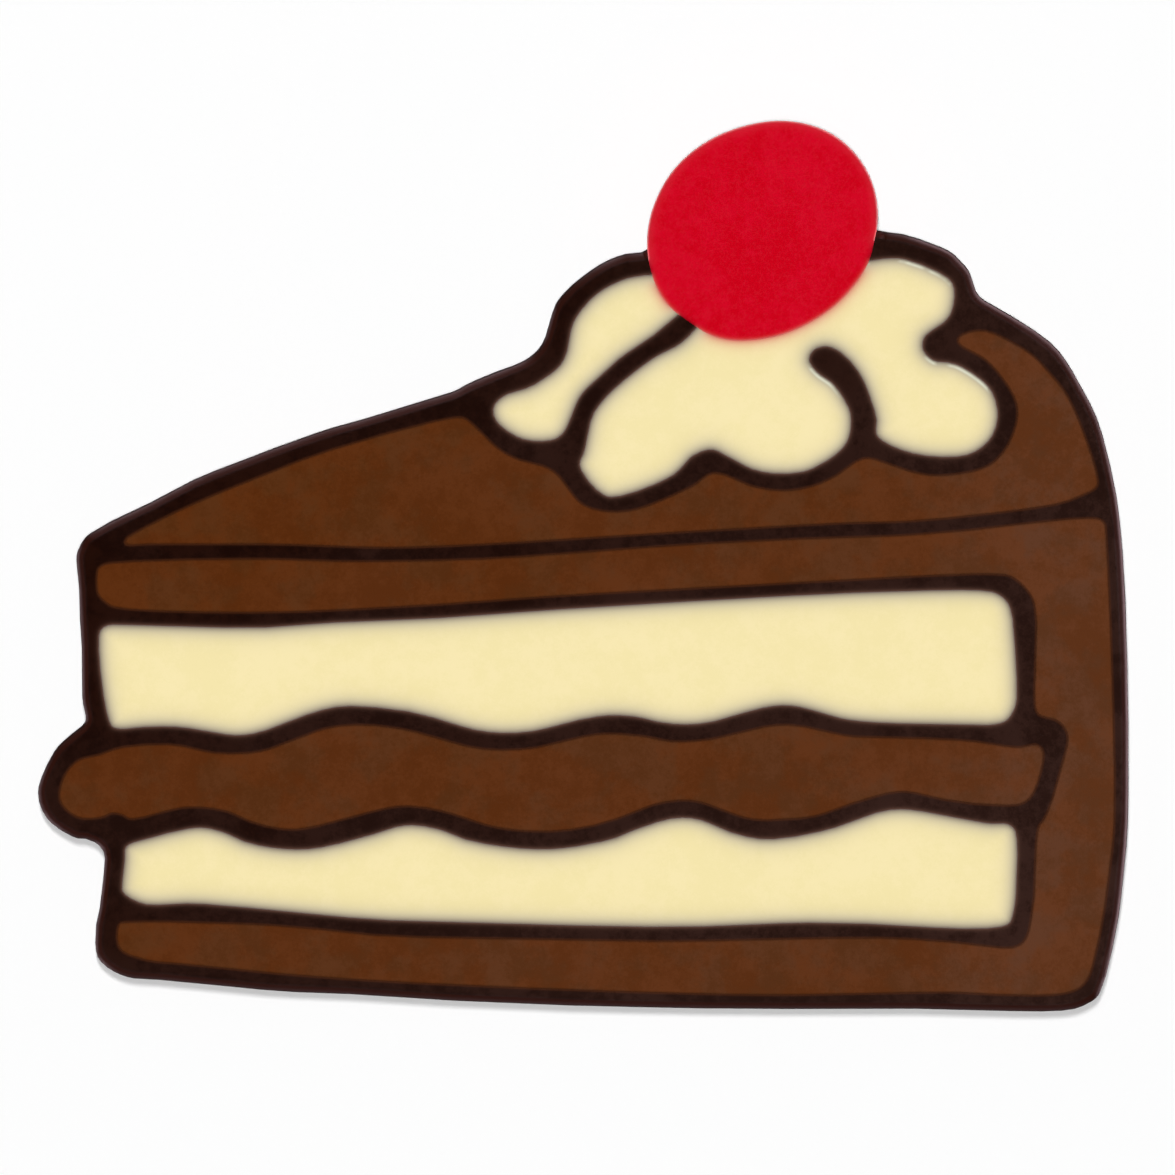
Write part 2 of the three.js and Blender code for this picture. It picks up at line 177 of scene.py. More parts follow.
# heading, width, lowest and highest edge in degrees over the floor, glow
reflectors = {
    "reflector_slope": (113, 19, -46, 22, 1.6),
    "reflector_top": (70, 11, -46, 16, 1.4),
    "reflector_shoulder": (45, 46, -46, 8, 2.8),
    "reflector_right": (-8, 42, -46, 2, 3.6),
    "reflector_left": (180, 38, -46, -3, 1.5),
    "reflector_bulge": (222, 30, -46, 8, 1.7),
    "reflector_foot": (270, 50, -45, 15, 0.42),
}
for name, (heading, width, lowest, highest, glow) in reflectors.items():
    middle = (lowest + highest) / 2
    height = highest - lowest
    brightness = glow * side_of(width) * side_of(height) / LAMP_DISTANCE ** 2 / math.pi
    reflector = hang_lamp(name, heading, middle, width, height, brightness)
    reflector.visible_diffuse = False
    reflector.data.color = REFLECTOR_PINK
    print(name, "watts:", round(reflector.data.energy, 1))

# %% [markdown]
# ## A short way to write a finish
#
# A finish is a net of nodes. Written one by one they take pages, so two small classes do
# the writing. `Wire` stands for a number that comes out of a node, and sums on it add Math
# nodes. `Finish` makes the material and adds any other node from its type, its settings
# and the values or wires of its sockets. Patterns are sized in millimetres on the piece's
# own Object coordinates, so they stay with the chocolate from every side.


# %% Wires and finishes
GLOSS = 0.35
ROUGHNESS = 0.3
ROUGHNESS_OF_MOTTLE = 0.1
GRAIN_DEPTH = 0.012
NO_LIGHT = (0, 0, 0, 1)
# Painted sheen and bloom: the slope across the plaque is a painted sheen, the clouds are bloom.
BLOOM_CLOUD = 14
SHEEN_PER_X = 0.0055
SHEEN_PER_Y = 0.006
BLOOM_CLOUD_SHARE = 0.9
BLOOM_AND_SHEEN_MIDDLE = 0.42
BLOOM_SEED = 5.3
MOTTLE_SIZE = 8
MOTTLE_ROUGHNESS = 0.94
MOTTLE_RANGE = (0.42, 0.58)
SPECK_CORE = 0.4
SPECK_CHANCE_STEP = 0.01


class Wire:
    """A number from a node. Sums on it add Math nodes."""

    def __init__(self, finish, socket):
        self.finish = finish
        self.socket = socket

    def maths(self, operation, *numbers):
        sockets = dict(enumerate(numbers))
        return self.finish.add("ShaderNodeMath", {"operation": operation}, sockets)

    def __add__(self, other):
        return self.maths("ADD", self, other)

    def __radd__(self, other):
        return self.maths("ADD", other, self)

    def __sub__(self, other):
        return self.maths("SUBTRACT", self, other)

    def __rsub__(self, other):
        return self.maths("SUBTRACT", other, self)

    def __mul__(self, other):
        return self.maths("MULTIPLY", self, other)

    def __rmul__(self, other):
        return self.maths("MULTIPLY", other, self)

    def __rpow__(self, other):
        return self.maths("POWER", other, self)

    def __abs__(self):
        return self.maths("ABSOLUTE", self)

    def ramp(self, low, high):
        """0 below low, 1 above high, and smooth between them."""
        settings = {"interpolation_type": "SMOOTHSTEP"}
        sockets = {"Value": self, "From Min": low, "From Max": high}
        return self.finish.add("ShaderNodeMapRange", settings, sockets)


class Finish:
    """A new material, with short names for the nodes that chocolate needs."""

    def __init__(self, name):
        self.material = bpy.data.materials.new(name)
        self.material.use_nodes = True
        self.tree = self.material.node_tree
        self.tree.nodes.clear()
        place = self.add("ShaderNodeTexCoord", output="Object")
        scaled = {"Vector": place, "Scale": 1 / MM}
        self.place = self.add("ShaderNodeVectorMath", {"operation": "SCALE"}, scaled)

    def add(self, kind, settings=None, sockets=None, output=0):
        node = self.tree.nodes.new(kind)
        for name, value in (settings or {}).items():
            setattr(node, name, value)
        for name, value in (sockets or {}).items():
            if isinstance(value, Wire):
                self.tree.links.new(value.socket, node.inputs[name])
            else:
                node.inputs[name].default_value = value
        return Wire(self, node.outputs[output])

    def noise(self, size, seed, detail=2.0, roughness=0.5):
        """Smooth noise from 0 to 1, with lumps about size mm across."""
        sockets = {
            "Vector": self.place,
            "W": seed,
            "Scale": 1 / size,
            "Detail": detail,
            "Roughness": roughness,
        }
        return self.add("ShaderNodeTexNoise", {"noise_dimensions": "4D"}, sockets)

    def specks(self, spacing, radius, share, seed):
        """Round specks of a radius in mm, in some of the cells of a spacing in mm."""
        sockets = {"Vector": self.place, "W": seed, "Scale": 1 / spacing}
        cell = {"voronoi_dimensions": "4D"}
        middle = self.add("ShaderNodeTexVoronoi", cell, sockets)
        chance = self.add("ShaderNodeTexVoronoi", cell, sockets, output="Color")
        pick = self.add("ShaderNodeSeparateColor", sockets={0: chance})
        edge = radius / spacing
        rare = 1 - share
        inside = 1 - middle.ramp(edge * SPECK_CORE, edge)
        return inside * pick.ramp(rare, rare + SPECK_CHANCE_STEP)

    def mix(self, factor, first, second, blend="MIX"):
        """A colour between two colours."""
        settings = {"data_type": "RGBA", "blend_type": blend}
        sockets = {0: factor, 6: first, 7: second}
        return self.add("ShaderNodeMix", settings, sockets, output=2)

    def distance(self, name, unit):
        """A distance kept on the corners of the piece's mesh, counted in a unit in mm."""
        settings = {"attribute_type": "GEOMETRY", "attribute_name": name}
        return self.add("ShaderNodeAttribute", settings, output="Fac") * (1 / unit)

    def fading(self, name, reach):
        """1 at a neighbour, falling off slowly over a reach in mm."""
        return math.e ** (0 - self.distance(name, reach))

    def blurred(self, name, reach):
        """1 at a neighbour, falling off quickly beyond a reach in mm."""
        away = self.distance(name, reach)
        return math.e ** (0 - away * away)

    def mottle(self, seed):
        """Blotches of all sizes from 8 mm to a tenth of one, nearly equally strong."""
        blotches = self.noise(MOTTLE_SIZE, seed, detail=6, roughness=MOTTLE_ROUGHNESS)
        return blotches.ramp(*MOTTLE_RANGE)

    def axis(self, name):
        """How far a place is along an axis, in mm."""
        return self.add("ShaderNodeSeparateXYZ", None, {"Vector": self.place}, output=name)

    def bloom_and_sheen(self, seed):
        """A painted sheen that grows towards the foot and the tall end, standing in for a broad
        reflection, over faint clouds of bloom.
        """
        clouds = self.noise(BLOOM_CLOUD, seed, detail=3) - 0.5
        # A painted sheen: paler towards the foot and the tall end, as a broad reflection would be.
        slope = self.axis("X") * SHEEN_PER_X - self.axis("Y") * SHEEN_PER_Y
        return slope + clouds * BLOOM_CLOUD_SHARE + BLOOM_AND_SHEEN_MIDDLE

    def close(self, colour, roughness, height, glow=NO_LIGHT):
        """Ends the net in one shader. Height counts in the depth of the grain."""
        relief = {"Distance": GRAIN_DEPTH * MM, "Height": height}
        bump = self.add("ShaderNodeBump", None, relief)
        sockets = {
            "Base Color": colour,
            "Roughness": roughness,
            "Specular IOR Level": GLOSS,
            "Emission Color": glow,
            "Emission Strength": 1.0,
            "Normal": bump,
        }
        shader = self.add("ShaderNodeBsdfPrincipled", None, sockets)
        self.add_output(shader)
        return self.material

    def add_output(self, shader):
        node = self.tree.nodes.new("ShaderNodeOutputMaterial")
        self.tree.links.new(shader.socket, node.inputs["Surface"])


# %% [markdown]
# ## The floor
#
# The floor is pale paper. It gives off a little light of its own, as a backlit sweep does,
# so it stays white right up to the plaque. It is kept out of the gloss as well, or the rim
# would mirror it all round as one broad grey line.

# %% Lay the floor
FLOOR_SIZE = 4.0
FLOOR_WHITE = (0.785, 0.785, 0.785, 1)
FLOOR_FIBRE = (0.775, 0.775, 0.775, 1)
FLOOR_GLOW = 0.2

bpy.ops.mesh.primitive_plane_add(size=FLOOR_SIZE)
floor = bpy.context.object
floor.name = "floor"
floor.visible_glossy = False
floor.visible_shadow = False
paper = Finish("pale_paper")
fibres = paper.noise(size=0.6, seed=3.1, detail=4)
paper_sockets = {
    "Base Color": paper.mix(fibres, FLOOR_FIBRE, FLOOR_WHITE),
    "Roughness": 1.0,
    "Specular IOR Level": 0.0,
    "Emission Color": (1, 1, 1, 1),
    "Emission Strength": FLOOR_GLOW,
}
paper.add_output(paper.add("ShaderNodeBsdfPrincipled", None, paper_sockets))
floor.data.materials.append(paper.material)

# %% [markdown]
# ## White chocolate
#
# The white panels are cast beside and over the dark outline. White chocolate lets light
# through, so it darkens towards a dark wall, to a warm grey over about a millimetre. Next to
# the cherry some of the red shows through in the same way. The panels carry their distance
# to each kind of wall, in millimetres, on the corners of their meshes, and the finish fades
# with it. Over the last millimetre before a dark wall the white is also a little paler and
# less yellow. The right swirl of cream has a painted highlight: a thin pale line, broken in
# places, along its upper right border, where its rounded edge would catch the light. The
# rest is faint blotches of cocoa butter and a few tiny specks.

# %% White chocolate
WHITE_LOW = (0.937, 0.808, 0.4275, 1)
WHITE_HIGH = (0.963, 0.83, 0.4635, 1)
SPECK_IN_WHITE = (0.5, 0.4, 0.2, 1)
WHITE_EDGE = (0.95, 0.85, 0.56, 1)
# Colour and placing of the painted highlight on the right swirl of cream.
HIGHLIGHT_IN_WHITE = (0.8, 0.81, 0.66, 1)
HIGHLIGHT_PLACE = 0.38
HIGHLIGHT_WIDTH = 0.3
HIGHLIGHT_SHARE = 0.75
HIGHLIGHT_BREAKS = (0.3, 0.6)
DARK_THROUGH_WHITE = (0.13, 0.09, 0.085, 1)
CHERRY_THROUGH_WHITE = (0.69, 0.155, 0.13, 1)
REACH_OF_DARK = 0.76
EDGE_WIDTH = 1.15
REACH_OF_CHERRY = 0.6
SPECK_SHARE = 0.6


def white_finish():
    finish = Finish("white_chocolate")
    mottle = finish.mottle(1.7)
    colour = finish.mix(mottle, WHITE_LOW, WHITE_HIGH)
    specks = finish.specks(spacing=4.5, radius=0.16, share=0.3, seed=2.5)
    colour = finish.mix(specks * SPECK_SHARE, colour, SPECK_IN_WHITE)
    colour = finish.mix(finish.fading("to_cherry", REACH_OF_CHERRY), colour, CHERRY_THROUGH_WHITE)
    colour = finish.mix(finish.blurred("to_dark", EDGE_WIDTH), colour, WHITE_EDGE)
    colour = finish.mix(finish.fading("to_dark", REACH_OF_DARK), colour, DARK_THROUGH_WHITE)
    # A painted highlight: a thin pale line just inside the upper right border of the right swirl
    # of cream, broken in places.
    beside = abs(finish.distance("to_dark", 1) - HIGHLIGHT_PLACE)
    painted_highlight = (1 - beside.ramp(0, HIGHLIGHT_WIDTH)) * finish.distance("painted_highlight", 1)
    uneven = finish.noise(size=2.5, seed=3.6).ramp(*HIGHLIGHT_BREAKS) * HIGHLIGHT_SHARE
    colour = finish.mix(painted_highlight * uneven, colour, HIGHLIGHT_IN_WHITE)
    grain = finish.noise(size=0.5, seed=7.7, detail=3)
    roughness = ROUGHNESS + ROUGHNESS_OF_MOTTLE * mottle
    return finish.close(colour, roughness, grain)


white_chocolate = white_finish()

# %% [markdown]
# ## Milk chocolate
#
# Milk chocolate is an even brown that is mottled when seen closely: soft patches of paler
# and more olive brown, very fine pale grains, and now and then a burst air bubble. Towards the
# foot and the tall end of the slice it is painted paler and greyer, a painted sheen that
# stands in for a broad reflection, laid over faint clouds of cocoa-butter bloom. At
# their walls milk and dark chocolate melt into each other over a tenth of a millimetre or
# two.

# %% Milk chocolate
MILK = (0.089, 0.02, 0.0021, 1)
# Milk chocolate's colour under the full painted sheen and bloom.
MILK_BLOOM_AND_SHEEN = (0.107, 0.031, 0.0091, 1)
TIMES_PALE = (1.19, 1.28, 1.6, 1)
TIMES_OLIVE = (0.92, 1.07, 1.35, 1)
TALL_END_SHEEN = (38, 54)
MILK_GRAIN = (0.16, 0.07, 0.04, 1)
MILK_PIT = (0.045, 0.016, 0.007, 1)
DARK_THROUGH_MILK = (0.016, 0.006, 0.0035, 1)
MELT = 0.16
MELT_SHARE = 0.5
MILK_BLOOM_AND_SHEEN_SHARE = 0.6
TALL_END_SHEEN_SHARE = 0.4
MILK_BLOOM_AND_SHEEN_BASE = 0.1
OLIVE_RANGE = (0.44, 0.6)
GRAIN_RANGE = (0.6, 0.8)
GRAIN_SHARE = 0.15
PIT_SHARE = 0.7
PIT_DEPTH = 3
MILK_ROUGHNESS = 0.32
MILK_ROUGHNESS_OF_MOTTLE = 0.08


def milk_finish():
    finish = Finish("milk_chocolate")
    # Painted sheen: more of the pale colour towards the tall end.
    tall_end_sheen = finish.axis("X").ramp(*TALL_END_SHEEN) * TALL_END_SHEEN_SHARE
    bloom_and_sheen = finish.bloom_and_sheen(BLOOM_SEED) * MILK_BLOOM_AND_SHEEN_SHARE + tall_end_sheen + MILK_BLOOM_AND_SHEEN_BASE
    colour = finish.mix(bloom_and_sheen, MILK, MILK_BLOOM_AND_SHEEN)
    mottle = finish.mottle(0.4)
    colour = finish.mix(mottle, colour, TIMES_PALE, "MULTIPLY")
    olive = finish.noise(size=5, seed=8.2, detail=4, roughness=0.6).ramp(*OLIVE_RANGE)
    colour = finish.mix(olive, colour, TIMES_OLIVE, "MULTIPLY")
    grains = finish.noise(size=0.22, seed=4.4, detail=2).ramp(*GRAIN_RANGE)
    colour = finish.mix(grains * GRAIN_SHARE, colour, MILK_GRAIN)
    pits = finish.specks(spacing=6, radius=0.2, share=0.15, seed=9.3)
    colour = finish.mix(pits * PIT_SHARE, colour, MILK_PIT)
    colour = finish.mix(finish.blurred("to_dark", MELT) * MELT_SHARE, colour, DARK_THROUGH_MILK)
    grain = finish.noise(size=0.4, seed=6.6, detail=3) - pits * PIT_DEPTH
    roughness = MILK_ROUGHNESS + MILK_ROUGHNESS_OF_MOTTLE * mottle
    return finish.close(colour, roughness, grain)


milk_chocolate = milk_finish()

# %% [markdown]
# ## Dark chocolate
#
# The outline and the backing are one dark chocolate. It is close to black, with the same
# painted sheen towards the foot and the tall end and the same faint bloom as the milk
# chocolate, a strong mottling and tiny pale specks. Along a white or a milk panel it is thin
# and shows a brown line, and at the rim, where the light shines in from the side, it is
# redder.

# %% Dark chocolate
DARK = (0.0079, 0.0015, 0.0005, 1)
# Dark chocolate's colour under the full painted sheen and bloom.
DARK_BLOOM_AND_SHEEN = (0.0205, 0.0078, 0.0055, 1)
TIMES_STREAK = (1.7, 1.9, 2.0, 1)
DARK_SPECK = (0.05, 0.03, 0.024, 1)
WHITE_THROUGH_DARK = (0.14, 0.07, 0.05, 1)
MILK_THROUGH_DARK = (0.098, 0.028, 0.009, 1)
RIM_RED = (0.027, 0.005, 0.002, 1)
RIM_START = 0.95
RIM_FULL = 0.7
BROWN_LINE = 0.15


def dark_finish():
    finish = Finish("dark_chocolate")
    # Painted sheen towards the foot and the tall end, over faint bloom.
    colour = finish.mix(finish.bloom_and_sheen(BLOOM_SEED), DARK, DARK_BLOOM_AND_SHEEN)
    mottle = finish.mottle(2.2)
    colour = finish.mix(mottle, colour, TIMES_STREAK, "MULTIPLY")
    specks = finish.specks(spacing=2.2, radius=0.09, share=0.25, seed=5.5)
    colour = finish.mix(specks * SPECK_SHARE, colour, DARK_SPECK)
    colour = finish.mix(finish.blurred("to_milk", MELT) * MELT_SHARE, colour, MILK_THROUGH_DARK)
    colour = finish.mix(finish.fading("to_white", BROWN_LINE), colour, WHITE_THROUGH_DARK)
    inside = finish.distance("to_rim", 1).ramp(RIM_FULL, RIM_START)
    colour = finish.mix(inside, RIM_RED, colour)
    grain = finish.noise(size=0.5, seed=3.8, detail=3)
    roughness = ROUGHNESS + ROUGHNESS_OF_MOTTLE * mottle
    return finish.close(colour, roughness, grain)


dark_chocolate = dark_finish()

# %% [markdown]
# ## Red cherry chocolate
#
# The cherry is white chocolate coloured through with a deep red. Colour and cocoa butter
# do not mix quite evenly, so thin pale veins wind over it, with stronger red between. It
# darkens at the dark outline, turns pink at the cream and is paler at its free rim. A thin
# pale line along the rounded upper edge of that rim is a painted highlight, and a faint
# painted glow there stands in for light that shines through it.

# %% Red chocolate
RED_LOW = (0.598, 0.0, 0.009, 1)
RED_HIGH = (0.65, 0.0019, 0.017, 1)
RED_PALE = (0.64, 0.011, 0.025, 1)
DARK_THROUGH_RED = (0.1, 0.002, 0.006, 1)
WHITE_THROUGH_RED = (0.78, 0.35, 0.28, 1)
REACH_IN_RED = 0.25
PINK_LINE = 0.12
RED_RIM = (0.66, 0.022, 0.04, 1)
# Colour of the painted highlight on the cherry's rounded upper rim.
RED_RIM_HIGHLIGHT = (0.75, 0.12, 0.13, 1)
THROUGH_RIM = (0.42, 0.13, 0.13, 1)
CHERRY_ROUNDING = (5.5, 5.8)
VEIN_WIDTH = 0.035
VEIN_SHARE = 0.45
DARK_IN_RED_SHARE = 0.75
PINK_SHARE = 0.5
RIM_FADE = 0.75
RIM_SHARE = 0.6
RIM_HIGHLIGHT_WIDTH = 0.14
RIM_HIGHLIGHT_SHARE = 0.8
GLOW_WIDTH = 0.1
RED_ROUGHNESS = 0.34


def red_finish():
    finish = Finish("red_chocolate")
    colour = finish.mix(finish.mottle(6.3), RED_LOW, RED_HIGH)
    wander = finish.noise(size=0.8, seed=1.1, detail=4, roughness=0.6)
    veins = 1 - abs(wander - 0.5).ramp(0.0, VEIN_WIDTH)
    colour = finish.mix(veins * VEIN_SHARE, colour, RED_PALE)
    dark = finish.fading("to_dark", REACH_IN_RED) * DARK_IN_RED_SHARE
    colour = finish.mix(dark, colour, DARK_THROUGH_RED)
    pink = finish.fading("to_white", PINK_LINE) * PINK_SHARE
    colour = finish.mix(pink, colour, WHITE_THROUGH_RED)
    colour = finish.mix(finish.blurred("to_free", RIM_FADE) * RIM_SHARE, colour, RED_RIM)
    rounding = finish.axis("Z").ramp(*CHERRY_ROUNDING)
    # A painted highlight: a thin pale line on the rounded upper edge of the free rim.
    rim_highlight = finish.blurred("to_free", RIM_HIGHLIGHT_WIDTH) * rounding
    colour = finish.mix(rim_highlight * RIM_HIGHLIGHT_SHARE, colour, RED_RIM_HIGHLIGHT)
    grain = finish.noise(size=0.4, seed=9.1, detail=3)
    glowing = finish.blurred("to_free", GLOW_WIDTH) * rounding
    glow = finish.mix(glowing, NO_LIGHT, THROUGH_RIM)
    return finish.close(colour, RED_ROUGHNESS, grain, glow)


red_chocolate = red_finish()

# %% [markdown]
# ## Starting a piece from its solid
#
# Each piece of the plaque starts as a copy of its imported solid, so its outline is right
# from the start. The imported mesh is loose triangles. Merging the corners that coincide and
# dissolving the lines between flat neighbours gives back whole walls and one large face,
# which edit mode can then work on as by hand.


# %% Helpers for copies and selections
MERGE = 1e-6
FLAT = 0.001
LOOKS_UP = 0.99
UPRIGHT = 0.1
SAME_LEVEL = 0.005 * MM
NEAR_LEVEL = 0.01 * MM


def only(piece):
    """Makes piece the one selected object."""
    bpy.ops.object.select_all(action="DESELECT")
    piece.select_set(True)
    bpy.context.view_layer.objects.active = piece


def copy_solid(node, name):
    """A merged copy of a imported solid, with whole flat faces."""
    only(nodes[node])
    bpy.ops.object.duplicate()
    piece = bpy.context.object
    bpy.ops.object.parent_clear(type="CLEAR_KEEP_TRANSFORM")
    piece.name = name
    piece.data.name = name
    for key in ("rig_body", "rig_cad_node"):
        del piece[key]
    piece.data.materials.clear()
    bpy.ops.object.mode_set(mode="EDIT")
    bpy.ops.mesh.select_all(action="SELECT")
    bpy.ops.mesh.remove_doubles(threshold=MERGE)
    bpy.ops.mesh.dissolve_limited(angle_limit=FLAT)
    bpy.ops.object.mode_set(mode="OBJECT")
    return piece


def pick_faces(piece, wanted):
    """In edit mode, selects the faces that are wanted and nothing else."""
    bpy.ops.mesh.select_mode(type="FACE")
    bpy.ops.mesh.select_all(action="DESELECT")
    shape = bmesh.from_edit_mesh(piece.data)
    for face in shape.faces:
        face.select_set(wanted(face))
    bmesh.update_edit_mesh(piece.data)


def on_face(face, level, facing=1):
    """True for a face that looks up, or down for a facing of -1, at a level."""
    height = face.calc_center_median().z
    return face.normal.z * facing > LOOKS_UP and abs(height - level) < SAME_LEVEL


# %% [markdown]
# ## Distance to a wall
#
# The finishes fade towards their neighbours, so each piece needs to know how far the
# corners of its mesh are from each kind of wall. Here the border of a piece's face is read
# off its solid as straight stretches, split by the neighbour that they touch. A wall is
# stood up on each stretch, and a search tree finds the nearest wall to any corner quickly.
# The distance in millimetres is kept on the mesh as a plain number.

# %% Measure along borders
FAR = 20.0
# Where the nearest wall must lie for a corner to get the painted highlight.
HIGHLIGHT_SIDE_START = 0.87
HIGHLIGHT_SIDE_RISE = 0.1


def rounded(place):
    """A place as a pair in mm that can be looked up."""
    return round(place.x / MM, 3), round(place.y / MM, 3)


def corners_at(node, level):
    """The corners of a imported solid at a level, as rounded places."""
    places = [corner.co for corner in nodes[node].data.vertices]
    return {rounded(place) for place in places if abs(place.z - level) < NEAR_LEVEL}


def border_of(piece, level):
    """Corners of the piece's face, in order."""
    flat = [face for face in piece.data.polygons if face.normal.z > LOOKS_UP]
    caps = [face for face in flat if abs(face.center.z - level) < NEAR_LEVEL]
    cap = max(caps, key=lambda face: face.area)
    return [piece.data.vertices[number].co.copy() for number in cap.vertices]


def stretches(border, neighbour):
    """The pairs of corners next to each other on a border that both touch a neighbour."""
    pairs = zip(border, border[1:] + border[:1])
    return [pair for pair in pairs if all(rounded(place) in neighbour for place in pair)]


def stand_walls(pairs):
    """A search tree of upright walls, one on each stretch."""
    up = Vector((0, 0, face_height))
    corners = []
    for start, end in pairs:
        corners += [start - up, end - up, end + up, start + up]
    faces = [(i, i + 1, i + 2, i + 3) for i in range(0, len(corners), 4)]
    return BVHTree.FromPolygons(corners, faces)


def distance_to(walls, place):
    """How far a place is from the nearest wall, in mm."""
    nearest = walls.find_nearest(place)[3]
    return FAR if nearest is None else nearest / MM


def keep_distance(piece, name, walls):
    """Keeps the distance to the walls on the corners of the mesh."""
    layer = piece.data.attributes.new(name, "FLOAT", "POINT")
    for number, corner in enumerate(piece.data.vertices):
        layer.data[number].value = distance_to(walls, corner.co)


def keep_highlight_side(piece, walls, heading):
    """Keeps 1 where the nearest wall lies in a heading, and 0 from thirty degrees off it, to place
    the painted highlight.
    """
    along = Vector((math.cos(math.radians(heading)), math.sin(math.radians(heading)), 0))
    layer = piece.data.attributes.new("painted_highlight", "FLOAT", "POINT")
    for number, corner in enumerate(piece.data.vertices):
        towards = walls.find_nearest(corner.co)[0] - corner.co
        towards.z = 0
        share = towards.normalized().dot(along) if towards.length > MERGE else 0
        layer.data[number].value = min(max((share - HIGHLIGHT_SIDE_START) / HIGHLIGHT_SIDE_RISE, 0), 1)


cherry_corners = corners_at("cherry_disc", face_height)
dark_corners = corners_at("dark_outline", face_height)
print("corners on the outline's borders:", len(dark_corners))

# %% Find the rim
RIM_LEVEL = 0.8 * MM


def line_at(node, level):
    """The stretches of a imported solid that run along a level."""
    mesh = nodes[node].data
    found = []
    for edge in mesh.edges:
        pair = [mesh.vertices[i].co.copy() for i in edge.vertices]
        if all(abs(place.z - level) < NEAR_LEVEL for place in pair):
            found.append(pair)
    return found


rim = stand_walls(line_at("backing_slab", RIM_LEVEL))

# %% [markdown]
# ## The casting
#
# A cast face is flat but not perfect. It waves by a few hundredths of a millimetre, and the
# panels meet the outline in a hairline seam. The pieces are shaped in edit mode: the edge
# between the face and its upright walls is bevelled a little, and the face is cut into a
# fine grid, so that the wave and the distances have corners to live on. A face with holes
# in it is cut into triangles first, because a cut through such a face can miss a part of
# it. Those helper lines are marked as seams and dissolved once the grid is there.

# %% Shape a face
WAVE_SIZE = 14 * MM
WAVE_DEPTH = 0.03 * MM
WAVE_REACH = 0.3 * MM
SEAM_EDGE = 0.05 * MM
SEAM_SEGMENTS = 2
FACE_SMOOTHING = 40
RIM_SMOOTHING = 50
PITCH = 0.5 * MM


def soften_seam(piece, level):
    """Bevels the edge between the face at a level and its upright walls."""
    bpy.ops.object.mode_set(mode="EDIT")
    bpy.ops.mesh.select_mode(type="EDGE")
    bpy.ops.mesh.select_all(action="DESELECT")
    shape = bmesh.from_edit_mesh(piece.data)
    for edge in shape.edges:
        faces = [face for face in edge.link_faces if on_face(face, level)]
        walls = [face for face in edge.link_faces if abs(face.normal.z) < UPRIGHT]
        edge.select_set(len(faces) == 1 and len(walls) == 1)
    bmesh.update_edit_mesh(piece.data)
    bpy.ops.mesh.bevel(offset=SEAM_EDGE, segments=SEAM_SEGMENTS)
    bpy.ops.object.mode_set(mode="OBJECT")


def box_of(piece):
    """Lowest and highest corner of a mesh."""
    places = [corner.co for corner in piece.data.vertices]
    low = Vector([min(place[axis] for place in places) for axis in range(3)])
    high = Vector([max(place[axis] for place in places) for axis in range(3)])
    return low, high


def cut_grid(piece, level, pitch, facing=1):
    """Cuts the flat face at a level into squares."""
    low, high = box_of(piece)
    bpy.ops.object.mode_set(mode="EDIT")
    pick_faces(piece, lambda face: on_face(face, level, facing))
    bpy.ops.mesh.hide(unselected=True)
    bpy.ops.mesh.select_all(action="SELECT")
    bpy.ops.mesh.quads_convert_to_tris()
    bpy.ops.mesh.select_mode(type="EDGE")
    shape = bmesh.from_edit_mesh(piece.data)
    for edge in shape.edges:
        edge.seam = not edge.hide and sum(not face.hide for face in edge.link_faces) == 2
    bmesh.update_edit_mesh(piece.data)
    for axis in (0, 1):
        normal = Vector()
        normal[axis] = 1
        for number in range(math.ceil(low[axis] / pitch), math.ceil(high[axis] / pitch)):
            bpy.ops.mesh.select_all(action="SELECT")
            bpy.ops.mesh.bisect(plane_co=normal * number * pitch, plane_no=normal, threshold=MERGE)
    bpy.ops.mesh.select_all(action="DESELECT")
    shape = bmesh.from_edit_mesh(piece.data)
    for edge in shape.edges:
        edge.select_set(edge.seam)
    bmesh.update_edit_mesh(piece.data)
    bpy.ops.mesh.dissolve_edges(use_verts=True)
    bpy.ops.mesh.reveal(select=False)
    bpy.ops.object.mode_set(mode="OBJECT")


def wave_face(piece, level):
    """Lowers every corner near the top by the wave."""
    for corner in piece.data.vertices:
        if corner.co.z > level - WAVE_REACH:
            place = Vector((corner.co.x, corner.co.y, 0)) / WAVE_SIZE
            corner.co.z -= WAVE_DEPTH * (0.5 + 0.5 * noise.noise(place))


def finish_piece(piece, finish, node, smooth=FACE_SMOOTHING):
    """Gives the piece its finish and its place in the frame."""
    only(piece)
    bpy.ops.object.shade_smooth_by_angle(angle=math.radians(smooth))
    piece.data.materials.append(finish)
    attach(piece, "root")
    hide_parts(node)
    print(piece.name, "faces:", len(piece.data.polygons))


# %% [markdown]
# ## Panels

# %% Cast the white panels
# The right swirl of cream gets a painted highlight along the border that faces this heading.
HIGHLIGHTED_PANEL = "cream_right"
HIGHLIGHT_HEADING = 58
white_stretches = []
white_corners = set()


def cast_white(node, name):
    piece = copy_solid(node, name)
    border = border_of(piece, face_height)
    soften_seam(piece, face_height)
    cut_grid(piece, face_height, PITCH)
    beside_dark = stretches(border, dark_corners)
    white_stretches.extend(beside_dark)
    white_corners.update(rounded(place) for place in border)
    dark_walls = stand_walls(beside_dark)
    keep_distance(piece, "to_dark", dark_walls)
    keep_distance(piece, "to_cherry", stand_walls(stretches(border, cherry_corners)))
    # Keeps the side of the panel that gets the painted highlight.
    if node == HIGHLIGHTED_PANEL:
        keep_highlight_side(piece, dark_walls, HIGHLIGHT_HEADING)
    wave_face(piece, face_height)
    finish_piece(piece, white_chocolate, node)


cast_white("cream_left", "cream_left_cast")
cast_white("cream_right", "cream_right_cast")
cast_white("sponge_upper", "sponge_upper_cast")
cast_white("sponge_lower", "sponge_lower_cast")

# %% Cast the milk panels
milk_stretches = []


